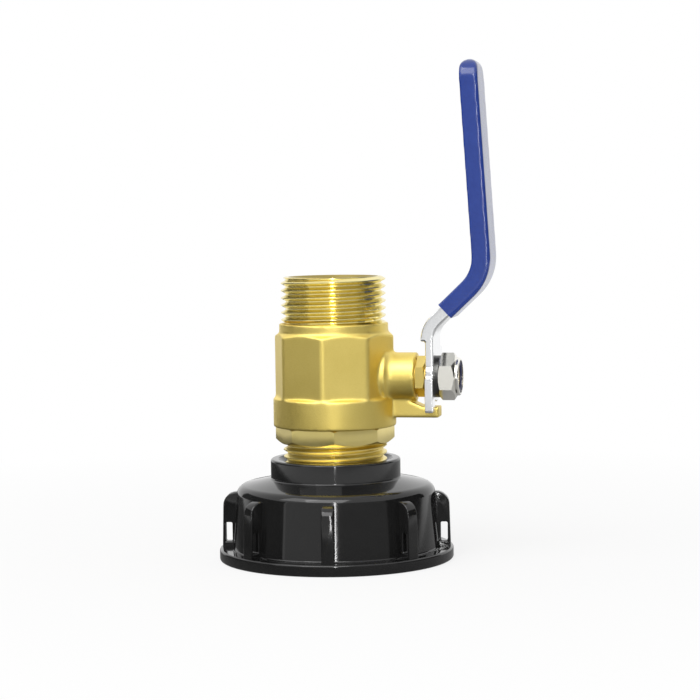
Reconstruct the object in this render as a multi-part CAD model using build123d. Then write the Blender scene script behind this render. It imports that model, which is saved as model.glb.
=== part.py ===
"""Quarter-turn brass ball valve on a coarse-thread tank cap, shown open.

Millimetres. Z is the flow axis, pointing up to the outlet. The origin is the centre of the
cap's open bottom face. X is the axis of the valve stem, pointing out to the lever.
"""
import os
from math import cos, pi, sqrt

from build123d import *

os.makedirs("parts", exist_ok=True)

# Tank cap: flange, wall, dome and collar
cap_flange_reach = 4.3
cap_flange_height = 3.7
cap_wall_base_thickness = 3.0
cap_wall_top_thickness = 1.4
cap_shoulder_height = 23.4
cap_shoulder_round = 3.2
cap_collar_radius = 20.65
cap_collar_base_height = 25.7
cap_height = 32.0
cap_top_wall = 3.2
cap_collar_mouth_radius = 18.3
cap_collar_mouth_depth = 1.4
cap_edge_round = 0.7

# Grip ribs round the cap, each with a slot for a tie
rib_count = 8
rib_first_angle = -82.6
rib_width = 2.8
rib_top_reach = 4.6
rib_base_reach = 3.5
rib_height = 21.2
rib_corner_round = 4.2
rib_root_depth = 7.8
rib_foot_overlap = 1.0
rib_slot_bottom = 5.4
rib_slot_top = 11.5
rib_slot_gap = 0.3
rib_slot_depth = 2.2

# Coarse 60 mm tank thread inside the cap
tank_thread_root_radius = 30.0
tank_thread_depth = 1.8
tank_thread_pitch = 6.0
tank_thread_turns = 3
tank_thread_first = 3.2
gasket_thickness = 2.4
gasket_width = 6.2
gasket_clearance = 0.3

# One-inch pipe thread at both ends of the valve
pipe_thread_crest_radius = 16.62
pipe_thread_root_radius = 15.14
pipe_thread_pitch = 2.309
outlet_thread_turns = 6
outlet_bore_radius = 13.4
outlet_mouth_chamfer = 0.9
outlet_throat_bottom = 73.0
outlet_throat_top = 76.0
inlet_thread_crest_radius = 16.44
inlet_thread_turns = 6
inlet_bore_radius = 12.2
collar_thread_turns = 3
collar_thread_root_gap = 0.4
outlet_thread_start = 0.45
inlet_thread_end = 0.55
thread_crest_share = 0.09
thread_root_share = 0.41
thread_clearance = 0.1
seal_ring_thickness = 1.5
seal_ring_inner_radius = 13.0

# Valve body
body_bottom = 42.3
body_round_radius = 19.5
body_round_top = 51.4
body_flat_apothem = 17.9
body_corner_radius = 18.8
body_flats_top = 70.3
body_shoulder_height = 1.9
neck_radius = 17.3
neck_bottom = 72.0
neck_top = 75.0
valve_height = 89.7
body_edge_round = 0.4
body_wall_overlap = 2.0

# End connector that closes the body from below
connector_bottom = 23.1
hex_ring_bottom = 37.1
hex_ring_radius = 18.9
hex_ring_corner_angle = -124.0
hex_ring_chamfer = 1.3
hex_ring_face_inset = 0.3
joint_thread_crest_radius = 16.3
joint_thread_root_radius = 15.5
joint_thread_pitch = 1.5
joint_thread_turns = 4
joint_thread_start = 0.8
joint_seal_thickness = 1.2
joint_seal_inner_radius = 14.7
octagon_sides = 8

# Ball and its seats
stem_height = 58.0
ball_radius = 14.0
port_radius = 9.5
ball_cavity_clearance = 0.6
seat_outer_radius = 13.2
seat_depth = 3.4
seat_contact_radius = 11.3
seat_clearance = 0.05
seat_lip = 1.2

# Stem, its seals and the gland
stem_radius = 3.95
stem_clearance = 0.05
stem_tang_thickness = 3.6
stem_tang_width = 8.4
stem_tang_depth = 2.6
tang_clearance = 0.15
stem_collar_radius = 5.9
stem_collar_start = 14.3
stem_collar_length = 2.2
thrust_washer_thickness = 0.8
o_ring_section = 1.1
o_ring_position = 19.0
packing_start = 20.6
packing_length = 2.6
packing_outer_radius = 5.6
follower_thickness = 0.9
fit_clearance = 0.02

bonnet_radius = 7.6
bonnet_end = 26.7
bonnet_flare_radius = 10.4
bonnet_flare_end = 20.6
gland_head_flats = 11.3
gland_head_length = 2.9
gland_seating_gap = 0.2

# Stop lug under the bonnet
lug_width = 7.0
lug_end_reach = 0.9
lug_bottom = 45.2
lug_base_top = 50.8
lug_tip_top = 48.6
lug_step_start = 24.2
lug_step_end = 29.2
lug_round = 0.6

# Lever of folded steel and its dipped sleeve
lever_web = 2.6
lever_gland_gap = 0.6
lever_depth = 4.0
lever_width = 14.2
lever_hub_radius = 7.9
lever_lip_thickness = 2.0
lever_lip_lead = 3.1
lever_knee_rise = 7.9
lever_elbow_rise = 16.7
lever_elbow_offset = 17.7
lever_top_lean = 4.1
lever_top_rise = 66.2
lever_knee_round = 6.5
lever_elbow_round = 15.5
lever_tip_round = 5.5
stem_hole_clearance = 0.05
stem_flat = 2.9
stop_ear_reach = 10.8
stop_ear_length = 5.2
stop_clearance = 0.35

sleeve_wall = 0.95
sleeve_overhang = 1.5
sleeve_start_rise = 5.9
sleeve_edge_round = 2.2

# Washer and locking nut on the stem
washer_thickness = 1.3
washer_radius = 6.6
washer_split = 1.2
washer_split_turn = 45
nut_flats = 13.0
nut_hex_length = 4.7
nut_crown_length = 1.6
nut_crown_radius = 6.0
insert_radius = 5.2
stem_end_recess = 0.9

# How far a cutting shape runs past the solid it cuts, or one joined shape into another
overshoot = 1.0

# Worked-out radii of the cap, outward from its inside thread
tank_thread_crest_radius = tank_thread_root_radius - tank_thread_depth
gasket_outer_radius = tank_thread_root_radius - gasket_clearance
cap_wall_base_radius = tank_thread_root_radius + cap_wall_base_thickness
cap_wall_top_radius = tank_thread_root_radius + cap_wall_top_thickness
cap_flange_radius = cap_wall_base_radius + cap_flange_reach
rib_top_radius = cap_wall_top_radius + rib_top_reach
rib_base_radius = cap_wall_base_radius + rib_base_reach
rib_slot_middle_radius = cap_wall_base_radius + rib_slot_gap + rib_slot_depth / 2

# Worked-out places along the flow axis
lug_tip_drop = lug_base_top - lug_tip_top
cap_inside_top = cap_shoulder_height - cap_top_wall
ledge_top = connector_bottom - seal_ring_thickness
outlet_thread_first = neck_top + outlet_thread_start * pipe_thread_pitch
inlet_thread_first = hex_ring_bottom - (inlet_thread_turns - inlet_thread_end) * pipe_thread_pitch
collar_thread_first = inlet_thread_first + pipe_thread_pitch / 2
collar_thread_root_radius = inlet_thread_crest_radius + collar_thread_root_gap
cavity_radius = ball_radius + ball_cavity_clearance
seat_contact_rise = sqrt(ball_radius**2 - seat_contact_radius**2)
seat_face = seat_contact_rise - seat_lip
connector_top = stem_height - seat_face - seat_lip
joint_shoulder = connector_top + joint_seal_thickness
joint_thread_first = body_bottom + joint_thread_start * joint_thread_pitch
octagon_apothem = cos(pi / octagon_sides)

# Worked-out places along the stem axis
washer_start = stem_collar_start + stem_collar_length
bonnet_pocket_end = washer_start + thrust_washer_thickness
follower_start = packing_start + packing_length
gland_start = follower_start + follower_thickness
gland_head_start = bonnet_end + gland_seating_gap
gland_head_end = gland_head_start + gland_head_length
lever_back = gland_head_end + lever_gland_gap
lever_face = lever_back + lever_web
lug_end = lever_face + lug_end_reach
nut_start = lever_face + washer_thickness
nut_end = nut_start + nut_hex_length + nut_crown_length
stem_end = nut_end - stem_end_recess

# Worked-out corners of the lever's side line, above the washer and out from the hub
lever_knee_height = stem_height + washer_radius + lever_knee_rise
lever_lip_start = lever_knee_height - lever_lip_lead
lever_elbow_height = lever_knee_height + lever_elbow_rise
lever_elbow_reach = lever_face + lever_elbow_offset
lever_top = lever_elbow_height + lever_top_rise
lever_top_reach = lever_elbow_reach - lever_top_lean
sleeve_start_height = lever_knee_height + sleeve_start_rise

stem_axis = Axis((0, 0, stem_height), (1, 0, 0))
stem_place = Pos(0, 0, stem_height)


def outline(points, rounds=()):
    """Closed flat face through the points, with some corners rounded."""
    face = make_face(Polyline(*points, close=True))
    for point, radius in rounds:
        corner = face.vertices().sort_by_distance((point[0], point[1], 0))[0]
        face = fillet(corner, radius)
    return face


def turned(points, rounds=()):
    """Solid of revolution about the flow axis, from (radius, height) points."""
    return revolve(Plane.XZ * outline(points, rounds), Axis.Z)


def turned_on_stem(points, rounds=()):
    """Solid of revolution about the stem axis, from (distance, radius) points."""
    return revolve(stem_place * (Plane.XZ * outline(points, rounds)), stem_axis)


def tube(outer, inner, bottom, top):
    """Plain ring about the flow axis."""
    return turned([(inner, bottom), (outer, bottom), (outer, top), (inner, top)])


def disc(radius, bottom, top):
    """Plain disc about the flow axis."""
    return Pos(0, 0, bottom) * extrude(Circle(radius), top - bottom)


def stem_tube(outer, inner, start, end):
    """Plain ring about the stem axis."""
    return turned_on_stem([(start, inner), (end, inner), (end, outer), (start, outer)])


def stem_disc(radius, start, end):
    """Plain disc about the stem axis."""
    return stem_place * Pos(start, 0, 0) * extrude(Plane.YZ * Circle(radius), end - start)


def prism(sides, apothem, bottom, top, corner_angle):
    """Upright prism with one corner at the given angle from X."""
    radius = apothem / cos(pi / sides)
    flat = RegularPolygon(radius, sides, rotation=corner_angle)
    return Pos(0, 0, bottom) * extrude(flat, top - bottom)


def stem_hexagon(flats, start, end):
    """Hexagonal prism along the stem axis, measured across its flats."""
    flat = Plane.YZ * RegularPolygon(flats / 2, 6, major_radius=False, rotation=30)
    return stem_place * Pos(start, 0, 0) * extrude(flat, end - start)


def thread_points(crest, root, pitch, first, turns, slack=0.0):
    """Outline points of parallel thread ridges at true pitch and depth, from the lowest up."""
    half_crest = thread_crest_share * pitch - slack / 2
    half_root = thread_root_share * pitch - slack / 2
    points = []
    for turn in range(turns):
        middle = first + turn * pitch
        points += [(root, middle - half_root), (crest, middle - half_crest)]
        points += [(crest, middle + half_crest), (root, middle + half_root)]
    return points


def make_tank_cap():
    """Moulded cap: flange, wall, dome and collar in one, with grip ribs and both inside threads."""
    shell = turned(
        [
            (0, 0),
            (cap_flange_radius, 0),
            (cap_flange_radius, cap_flange_height),
            (cap_wall_base_radius, cap_flange_height),
            (cap_wall_top_radius, cap_shoulder_height),
            (cap_collar_radius, cap_collar_base_height),
            (cap_collar_radius, cap_height),
            (0, cap_height),
        ],
        [
            ((cap_flange_radius, 0), cap_edge_round),
            ((cap_flange_radius, cap_flange_height), cap_edge_round),
            ((cap_wall_base_radius, cap_flange_height), cap_edge_round),
            ((cap_wall_top_radius, cap_shoulder_height), cap_shoulder_round),
            ((cap_collar_radius, cap_collar_base_height), cap_edge_round),
            ((cap_collar_radius, cap_height), cap_edge_round),
        ],
    )
    rib_profile = outline(
        [
            (tank_thread_root_radius + rib_foot_overlap, cap_flange_height / 2),
            (rib_base_radius, cap_flange_height / 2),
            (rib_top_radius, rib_height),
            (rib_top_radius - rib_root_depth, rib_height),
        ],
        [((rib_top_radius, rib_height), rib_corner_round)],
    )
    slot = Pos(rib_slot_middle_radius, 0, (rib_slot_top + rib_slot_bottom) / 2)
    slot = slot * Box(rib_slot_depth, 2 * rib_width, rib_slot_top - rib_slot_bottom)
    rib = extrude(Plane.XZ * rib_profile, rib_width / 2, both=True) - slot
    ribs = [Rot(0, 0, rib_first_angle + turn * 360 / rib_count) * rib for turn in range(rib_count)]
    shell += ribs
    tank_space = turned(
        [(0, -overshoot), (tank_thread_root_radius, -overshoot)]
        + thread_points(
            tank_thread_crest_radius,
            tank_thread_root_radius,
            tank_thread_pitch,
            tank_thread_first,
            tank_thread_turns,
        )
        + [(tank_thread_root_radius, cap_inside_top), (0, cap_inside_top)]
    )
    collar_space = turned(
        [(0, ledge_top), (collar_thread_root_radius, ledge_top)]
        + thread_points(
            pipe_thread_root_radius + thread_clearance,
            collar_thread_root_radius,
            pipe_thread_pitch,
            collar_thread_first,
            collar_thread_turns,
            thread_clearance,
        )
        + [
            (collar_thread_root_radius, cap_height - cap_collar_mouth_depth),
            (cap_collar_mouth_radius, cap_height),
            (cap_collar_mouth_radius, cap_height + overshoot),
            (0, cap_height + overshoot),
        ]
    )
    passage = disc(seal_ring_inner_radius, cap_inside_top - overshoot, ledge_top + overshoot)
    return shell - tank_space - collar_space - passage


def make_tank_gasket():
    """Flat rubber ring under the dome, which the tank's spout presses on."""
    inner = gasket_outer_radius - gasket_width
    return tube(gasket_outer_radius, inner, cap_inside_top - gasket_thickness, cap_inside_top)


def make_collar_seal():
    """Flat ring between the ledge in the collar and the connector's end."""
    inner = seal_ring_inner_radius + gasket_clearance
    return tube(pipe_thread_root_radius, inner, ledge_top, connector_bottom)


def make_valve_body():
    """Forged body: outlet thread, neck, wrench flats, round skirt, bonnet and stop lug."""
    skirt = turned(
        [
            (0, body_bottom),
            (body_round_radius, body_bottom),
            (body_round_radius, body_round_top),
            (body_flat_apothem, body_round_top + body_shoulder_height),
            (0, body_round_top + body_shoulder_height),
        ],
        [
            ((body_round_radius, body_bottom), body_edge_round),
            ((body_round_radius, body_round_top), 2 * body_edge_round),
        ],
    )
    flats = prism(octagon_sides, body_flat_apothem, body_round_top - overshoot, neck_bottom, 0)
    flats = flats & turned(
        [
            (0, body_bottom),
            (body_corner_radius, body_bottom),
            (body_corner_radius, body_flats_top),
            (neck_radius, neck_bottom),
            (0, neck_bottom),
        ]
    )
    outlet = turned(
        [(0, neck_bottom - overshoot), (neck_radius, neck_bottom - overshoot), (neck_radius, neck_top)]
        + thread_points(
            pipe_thread_crest_radius,
            pipe_thread_root_radius,
            pipe_thread_pitch,
            outlet_thread_first,
            outlet_thread_turns,
        )
        + [(pipe_thread_root_radius, valve_height), (0, valve_height)]
    )
    bonnet = turned_on_stem(
        [
            (0, 0),
            (bonnet_end, 0),
            (bonnet_end, bonnet_radius),
            (bonnet_flare_end, bonnet_radius),
            (body_flat_apothem - overshoot, bonnet_flare_radius),
            (0, bonnet_flare_radius),
        ],
        [
            ((bonnet_end, bonnet_radius), body_edge_round),
            ((bonnet_flare_end, bonnet_radius), bonnet_radius / 2),
        ],
    )
    lug_outline = outline(
        [
            (cavity_radius + body_wall_overlap, lug_bottom),
            (lug_end, lug_bottom),
            (lug_end, lug_tip_top),
            (lug_step_end, lug_tip_top),
            (lug_step_start, lug_base_top),
            (cavity_radius + body_wall_overlap, lug_base_top),
        ],
        [
            ((lug_end, lug_bottom), lug_round),
            ((lug_end, lug_tip_top), lug_round),
            ((lug_step_end, lug_tip_top), 2 * lug_tip_drop),
            ((lug_step_start, lug_base_top), lug_tip_drop),
        ],
    )
    lug = extrude(Plane.XZ * lug_outline, lug_width / 2, both=True)
    water_space = turned(
        [
            (0, body_bottom - overshoot),
            (joint_thread_crest_radius + fit_clearance, body_bottom - overshoot),
            (joint_thread_crest_radius + fit_clearance, body_bottom),
        ]
        + thread_points(
            joint_thread_root_radius + thread_clearance,
            joint_thread_crest_radius + fit_clearance,
            joint_thread_pitch,
            joint_thread_first + joint_thread_pitch / 2,
            joint_thread_turns - 1,
            thread_clearance,
        )
        + [
            (joint_thread_crest_radius + fit_clearance, joint_shoulder),
            (cavity_radius, joint_shoulder),
            (cavity_radius, stem_height + seat_face),
            (seat_outer_radius + fit_clearance, stem_height + seat_face),
            (seat_outer_radius + fit_clearance, stem_height + seat_face + seat_depth),
            (port_radius, stem_height + seat_face + seat_depth),
            (port_radius, outlet_throat_bottom),
            (outlet_bore_radius, outlet_throat_top),
            (outlet_bore_radius, valve_height - outlet_mouth_chamfer),
            (outlet_bore_radius + outlet_mouth_chamfer, valve_height),
            (outlet_bore_radius + outlet_mouth_chamfer, valve_height + overshoot),
            (0, valve_height + overshoot),
        ]
    )
    stem_space = turned_on_stem(
        [
            (0, 0),
            (bonnet_end + overshoot, 0),
            (bonnet_end + overshoot, packing_outer_radius + fit_clearance),
            (packing_start, packing_outer_radius + fit_clearance),
            (packing_start, stem_radius + stem_clearance),
            (bonnet_pocket_end, stem_radius + stem_clearance),
            (bonnet_pocket_end, stem_collar_radius + stem_clearance),
            (0, stem_collar_radius + stem_clearance),
        ]
    )
    return skirt + flats + outlet + bonnet + lug - water_space - stem_space


def make_end_connector():
    """Screwed end: joint thread inside the body, octagonal ring and tank-side pipe thread."""
    core = turned(
        [
            (0, connector_bottom),
            (pipe_thread_root_radius, connector_bottom),
        ]
        + thread_points(
            inlet_thread_crest_radius,
            pipe_thread_root_radius,
            pipe_thread_pitch,
            inlet_thread_first,
            inlet_thread_turns,
        )
        + [
            (pipe_thread_root_radius, hex_ring_bottom),
            (pipe_thread_root_radius, body_bottom),
            (joint_thread_root_radius, body_bottom),
        ]
        + thread_points(
            joint_thread_crest_radius,
            joint_thread_root_radius,
            joint_thread_pitch,
            joint_thread_first,
            joint_thread_turns,
        )
        + [(joint_thread_root_radius, connector_top), (0, connector_top)]
    )
    apothem = hex_ring_radius * octagon_apothem
    ring = prism(octagon_sides, apothem, hex_ring_bottom, body_bottom, hex_ring_corner_angle)
    ring = ring & turned(
        [
            (0, hex_ring_bottom),
            (apothem - hex_ring_face_inset, hex_ring_bottom),
            (hex_ring_radius, hex_ring_bottom + hex_ring_chamfer),
            (hex_ring_radius, body_bottom - body_edge_round),
            (hex_ring_radius - body_edge_round, body_bottom),
            (0, body_bottom),
        ]
    )
    seat_bottom = stem_height - seat_face - seat_depth
    bore = turned(
        [
            (0, connector_bottom - overshoot),
            (inlet_bore_radius, connector_bottom - overshoot),
            (inlet_bore_radius, hex_ring_bottom),
            (port_radius, hex_ring_bottom + inlet_bore_radius - port_radius),
            (port_radius, seat_bottom),
            (seat_outer_radius + fit_clearance, seat_bottom),
            (seat_outer_radius + fit_clearance, connector_top + overshoot),
            (0, connector_top + overshoot),
        ]
    )
    return core + ring - bore


def make_body_joint_seal():
    """Flat ring squeezed between the connector's end and the body's inner shoulder."""
    return tube(joint_thread_root_radius, joint_seal_inner_radius, connector_top, joint_shoulder)


def make_ball():
    """Bored ball with the slot that the stem's tang drives."""
    ball = stem_place * Sphere(ball_radius)
    port = disc(port_radius, stem_height - 2 * ball_radius, stem_height + 2 * ball_radius)
    slot_start = ball_radius - stem_tang_depth - tang_clearance
    slot_middle = slot_start + ball_radius / 2
    slot = Pos(slot_middle, 0, stem_height)
    slot = slot * Box(ball_radius, 2 * ball_radius, stem_tang_thickness + 2 * tang_clearance)
    return ball - port - slot


def make_seat(side):
    """Ring that the ball bears on, above it for side 1 and below it for side -1."""
    bottom, top = sorted((side * seat_face, side * (seat_face + seat_depth)))
    ring = stem_place * tube(seat_outer_radius, port_radius, bottom, top)
    return ring - stem_place * Sphere(ball_radius + seat_clearance)


def make_stem():
    """Stem with its driving tang, anti-blow-out collar, seal groove, flats and nut thread."""
    groove_radius = stem_radius - o_ring_section
    shaft = turned_on_stem(
        [
            (stem_collar_start, 0),
            (stem_end, 0),
            (stem_end, stem_radius),
            (o_ring_position + o_ring_section / 2 + fit_clearance, stem_radius),
            (o_ring_position + o_ring_section / 2 + fit_clearance, groove_radius),
            (o_ring_position - o_ring_section / 2 - fit_clearance, groove_radius),
            (o_ring_position - o_ring_section / 2 - fit_clearance, stem_radius),
            (washer_start, stem_radius),
            (washer_start, stem_collar_radius),
            (stem_collar_start, stem_collar_radius),
        ]
    )
    flat_length = lever_web + stop_clearance
    flat_middle = Pos(lever_face - flat_length / 2, 0, stem_height)
    flats = flat_middle * Box(flat_length, 4 * stem_radius, 4 * stem_radius)
    flats = flats - flat_middle * Box(flat_length, 2 * stem_flat, 4 * stem_radius)
    tang_length = stem_collar_start - ball_radius + stem_tang_depth
    tang = Pos(stem_collar_start - tang_length / 2, 0, stem_height)
    tang = tang * Box(tang_length, stem_tang_width, stem_tang_thickness)
    return shaft - flats + tang


def make_thrust_washer():
    """Low-friction washer between the stem's collar and the body."""
    inner = stem_radius + stem_clearance
    return stem_tube(stem_collar_radius, inner, washer_start + fit_clearance, bonnet_pocket_end)


def make_o_ring():
    """Rubber ring in the stem's groove."""
    middle = stem_radius - o_ring_section / 2 + fit_clearance
    ring = Plane.XZ * Pos(o_ring_position, middle) * Circle(o_ring_section / 2)
    return revolve(stem_place * ring, stem_axis)


def make_packing():
    """Packing ring that the gland nut squeezes round the stem."""
    return stem_tube(packing_outer_radius, stem_radius + stem_clearance, packing_start, follower_start)


def make_packing_follower():
    """Flat brass ring between the packing and the gland nut."""
    return stem_tube(packing_outer_radius, stem_radius + stem_clearance, follower_start, gland_start)


def make_gland_nut():
    """Hollow hexagon-headed screw that closes the bonnet."""
    head = stem_hexagon(gland_head_flats, gland_head_start, gland_head_end)
    corner = gland_head_flats / 2 / cos(pi / 6)
    head = head & turned_on_stem(
        [
            (gland_head_start, 0),
            (gland_head_end, 0),
            (gland_head_end, gland_head_flats / 2),
            (gland_head_end - (corner - gland_head_flats / 2), corner),
            (gland_head_start, corner),
        ]
    )
    screw = stem_disc(packing_outer_radius, gland_start, gland_head_start)
    hole = stem_disc(stem_radius + stem_clearance, gland_start - overshoot, gland_head_end + overshoot)
    return head + screw - hole


def lever_line(inset):
    """Side line of the lever at a depth behind its outer face, from below the stem to the tip."""
    face_line = FilletPolyline(
        (lever_face, stem_height - 2 * lever_hub_radius),
        (lever_face, lever_knee_height),
        (lever_elbow_reach, lever_elbow_height),
        (lever_top_reach, lever_top),
        radius=(lever_knee_round, lever_elbow_round),
    )
    if inset == 0:
        return face_line
    return offset(face_line, inset, side=Side.LEFT, closed=False)


def lever_strip(depth, width):
    """Strip that follows the lever, measured back from its outer face."""
    face = make_face(offset(lever_line(0), depth, side=Side.LEFT, closed=True))
    return extrude(Plane.XZ * face, width / 2, both=True)


def lever_front(width, bottom, tip, tip_round):
    """Thick plate with the lever's front outline, used to trim the folded strip."""
    blank = Pos(0, (bottom + tip) / 2) * Rectangle(width, tip - bottom)
    corners = blank.vertices().group_by(Axis.Y)[-1]
    return extrude(Plane.YZ * fillet(corners, tip_round), 2 * lever_elbow_reach)


def make_stop_ears():
    """Two tabs on the hub that meet the lug when the valve is open and when it is closed."""
    inner = lug_width / 2 + stop_clearance
    low = (inner, inner + stop_ear_length)
    thickness = lever_web
    middle = lever_face - thickness / 2
    open_ear = Pos(middle, -(low[0] + low[1]) / 2, stem_height - stop_ear_reach / 2)
    open_ear = open_ear * Box(thickness, stop_ear_length, stop_ear_reach)
    shut_ear = Pos(middle, stop_ear_reach / 2, stem_height + (low[0] + low[1]) / 2)
    shut_ear = shut_ear * Box(thickness, stop_ear_reach, stop_ear_length)
    return [open_ear, shut_ear]


def make_lever():
    """Steel lever: flat hub on the stem, stop ears, and a folded channel up to the tip."""
    web_front = lever_front(lever_width, stem_height, lever_top, lever_tip_round)
    web = lever_strip(lever_web, lever_width) & web_front
    channel = lever_strip(lever_depth, lever_width) - lever_strip(
        2 * lever_depth, lever_width - 2 * lever_lip_thickness
    )
    channel_front = lever_front(lever_width, lever_lip_start, lever_top, lever_tip_round)
    hub = stem_disc(lever_hub_radius, lever_back, lever_face)
    stem_hole = stem_disc(stem_radius + stem_hole_clearance, lever_back - overshoot, lever_face + overshoot)
    flat_half_width = stem_flat + stem_hole_clearance
    flat_sides = Pos(lever_face, 0, stem_height) * Box(4 * lever_web, 2 * flat_half_width, 4 * stem_radius)
    lever = web + (channel & channel_front) + hub + make_stop_ears()
    return lever - (stem_hole & flat_sides)


def make_sleeve():
    """Dipped plastic sleeve over the lever, closed round the tip."""
    run = lever_line(lever_depth / 2).edges().sort_by(Axis.Y)
    lean = run[2].position_at(0) - run[2].position_at(1)
    rise = (sleeve_start_height - run[2].position_at(1).Y) / lean.Y
    start = run[2].position_at(1) + lean * rise
    elbow_start = run[2].position_at(0)
    elbow_middle = run[3].position_at(0.5)
    elbow_end = run[3].position_at(0)
    top = run[4].position_at(0)
    tip = top + (top - elbow_end).normalized() * sleeve_overhang
    bend = ThreePointArc(elbow_start, elbow_middle, elbow_end)
    path = Plane.XZ * (Line(start, elbow_start) + bend + Line(elbow_end, tip))
    width = lever_width + 2 * sleeve_wall
    section = RectangleRounded(lever_depth + 2 * sleeve_wall, width, sleeve_edge_round)
    direction = Plane.XZ.from_local_coords(lean).normalized()
    place = Plane(Plane.XZ.from_local_coords(start), x_dir=(direction.Z, 0, -direction.X), z_dir=direction)
    skin = sweep(place * section, path)
    tip_round = lever_tip_round + sleeve_wall
    skin = skin & lever_front(width, stem_height, lever_top + sleeve_overhang, tip_round)
    return skin - make_lever()


def make_washer():
    """Split spring washer behind the nut."""
    ring = stem_tube(washer_radius, stem_radius + fit_clearance, lever_face, nut_start)
    split = Pos(lever_face, 0, stem_height - washer_radius) * Rot(washer_split_turn, 0, 0)
    return ring - split * Box(4 * washer_thickness, washer_split, washer_radius)


def make_lever_nut():
    """Locking nut: hexagon with rounded corners and a round crown that holds the insert."""
    hexagon = stem_hexagon(nut_flats, nut_start, nut_start + nut_hex_length)
    corner = nut_flats / 2 / cos(pi / 6)
    bevel = corner - nut_flats / 2
    nut = hexagon & turned_on_stem(
        [
            (nut_start, 0),
            (nut_start, nut_flats / 2),
            (nut_start + bevel / 2, corner),
            (nut_start + nut_hex_length - bevel, corner),
            (nut_start + nut_hex_length, nut_flats / 2 - bevel / 2),
            (nut_start + nut_hex_length, 0),
        ]
    )
    crown = turned_on_stem(
        [
            (nut_start, 0),
            (nut_end, 0),
            (nut_end, nut_crown_radius),
            (nut_start, nut_crown_radius),
        ],
        [((nut_end, nut_crown_radius), nut_crown_length / 2)],
    )
    insert_seat = stem_disc(insert_radius, nut_end - nut_crown_length, nut_end + overshoot)
    hole = stem_disc(stem_radius + fit_clearance, nut_start - overshoot, nut_end + overshoot)
    return nut + crown - insert_seat - hole


def make_nut_insert():
    """Plastic locking ring in the nut's crown."""
    start = nut_end - nut_crown_length
    return stem_tube(insert_radius, stem_radius + fit_clearance, start, nut_end - stop_clearance)


pieces = {
    "tank_cap": make_tank_cap(),
    "tank_gasket": make_tank_gasket(),
    "collar_seal": make_collar_seal(),
    "valve_body": make_valve_body(),
    "end_connector": make_end_connector(),
    "body_joint_seal": make_body_joint_seal(),
    "ball": make_ball(),
    "outlet_seat": make_seat(1),
    "tank_side_seat": make_seat(-1),
    "stem": make_stem(),
    "stem_thrust_washer": make_thrust_washer(),
    "stem_o_ring": make_o_ring(),
    "stem_packing": make_packing(),
    "packing_follower": make_packing_follower(),
    "gland_nut": make_gland_nut(),
    "lever": make_lever(),
    "lever_sleeve": make_sleeve(),
    "lever_washer": make_washer(),
    "lever_nut": make_lever_nut(),
    "nut_insert": make_nut_insert(),
}

for name, piece in pieces.items():
    export_step(piece, f"parts/{name}.step")
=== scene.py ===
"""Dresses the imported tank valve: forged brass body, moulded cap, folded lever and its fittings.

Every length is in metres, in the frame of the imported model: Z up the flow axis, X out along the
valve stem, origin at the centre of the cap's open underside.
"""
import logging
from dataclasses import dataclass
from enum import Enum
from math import ceil, cos, pi, radians, sin, tan
from typing import Sequence

import bpy
from mathutils import Euler, Matrix, Vector


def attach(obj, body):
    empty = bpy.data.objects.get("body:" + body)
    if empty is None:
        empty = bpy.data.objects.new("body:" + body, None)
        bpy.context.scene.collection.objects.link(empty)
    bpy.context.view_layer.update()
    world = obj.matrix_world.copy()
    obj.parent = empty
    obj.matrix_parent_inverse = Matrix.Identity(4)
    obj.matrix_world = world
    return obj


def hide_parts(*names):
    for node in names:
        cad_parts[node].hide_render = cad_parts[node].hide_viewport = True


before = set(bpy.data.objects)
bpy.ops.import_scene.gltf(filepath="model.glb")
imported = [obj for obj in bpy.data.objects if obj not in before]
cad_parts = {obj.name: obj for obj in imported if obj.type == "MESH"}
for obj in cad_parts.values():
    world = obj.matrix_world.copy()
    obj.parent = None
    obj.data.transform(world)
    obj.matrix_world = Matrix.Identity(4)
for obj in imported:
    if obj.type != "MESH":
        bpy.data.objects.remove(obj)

logging.basicConfig(level=logging.INFO, format="%(name)s: %(message)s")
log = logging.getLogger("tank_valve")

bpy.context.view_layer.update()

Point = tuple[float, float]
Colour = tuple[float, float, float]
Solid = bpy.types.Object
Socket = bpy.types.NodeSocket

MM = 0.001
STEM_HEIGHT = 58.0 * MM
# How far a solid runs into or past what it is joined to or cut from.
OVERLAP = 1.0 * MM
MERGE_REACH = 0.001 * MM
CUT_REACH = 0.0001 * MM
RELAX_FACTOR = 0.5
FLOW_STEPS = 160
STEM_STEPS = 96
BORE_STEPS = 64


class Axis(Enum):
    """The two axes that round pieces turn about, each with a point on it and its direction."""

    FLOW = ((0.0, 0.0, 0.0), (0.0, 0.0, 1.0))
    STEM = ((0.0, 0.0, STEM_HEIGHT), (1.0, 0.0, 0.0))

    def place(self, point: Point) -> Vector:
        """Turns a (radius, height) or (distance, radius) point into a place in the frame."""
        return Vector((point[0], 0.0, self.value[0][2] + point[1]))

    def foot(self, point: Point) -> Point:
        """Gives the point on the axis that is level with a point of an outline."""
        return (0.0, point[1]) if self is Axis.FLOW else (point[0], 0.0)


class Body(Enum):
    """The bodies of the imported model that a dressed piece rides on."""

    VALVE = "valve"
    LEVER_SET = "lever_set"


class Work(Enum):
    """What other solids do to a piece."""

    JOIN = "UNION"
    CUT = "DIFFERENCE"
    TRIM = "INTERSECT"


def clear() -> None:
    """Leaves edit mode and deselects everything."""
    if bpy.context.object and bpy.context.object.mode != "OBJECT":
        bpy.ops.object.mode_set(mode="OBJECT")
    bpy.ops.object.select_all(action="DESELECT")


def pick(piece: Solid) -> None:
    """Makes one object the only selected and active one."""
    clear()
    piece.select_set(True)
    bpy.context.view_layer.objects.active = piece


def edit(piece: Solid) -> None:
    """Opens a piece in edit mode with all of it selected."""
    pick(piece)
    bpy.ops.object.mode_set(mode="EDIT")
    bpy.ops.mesh.select_all(action="SELECT")


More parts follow.
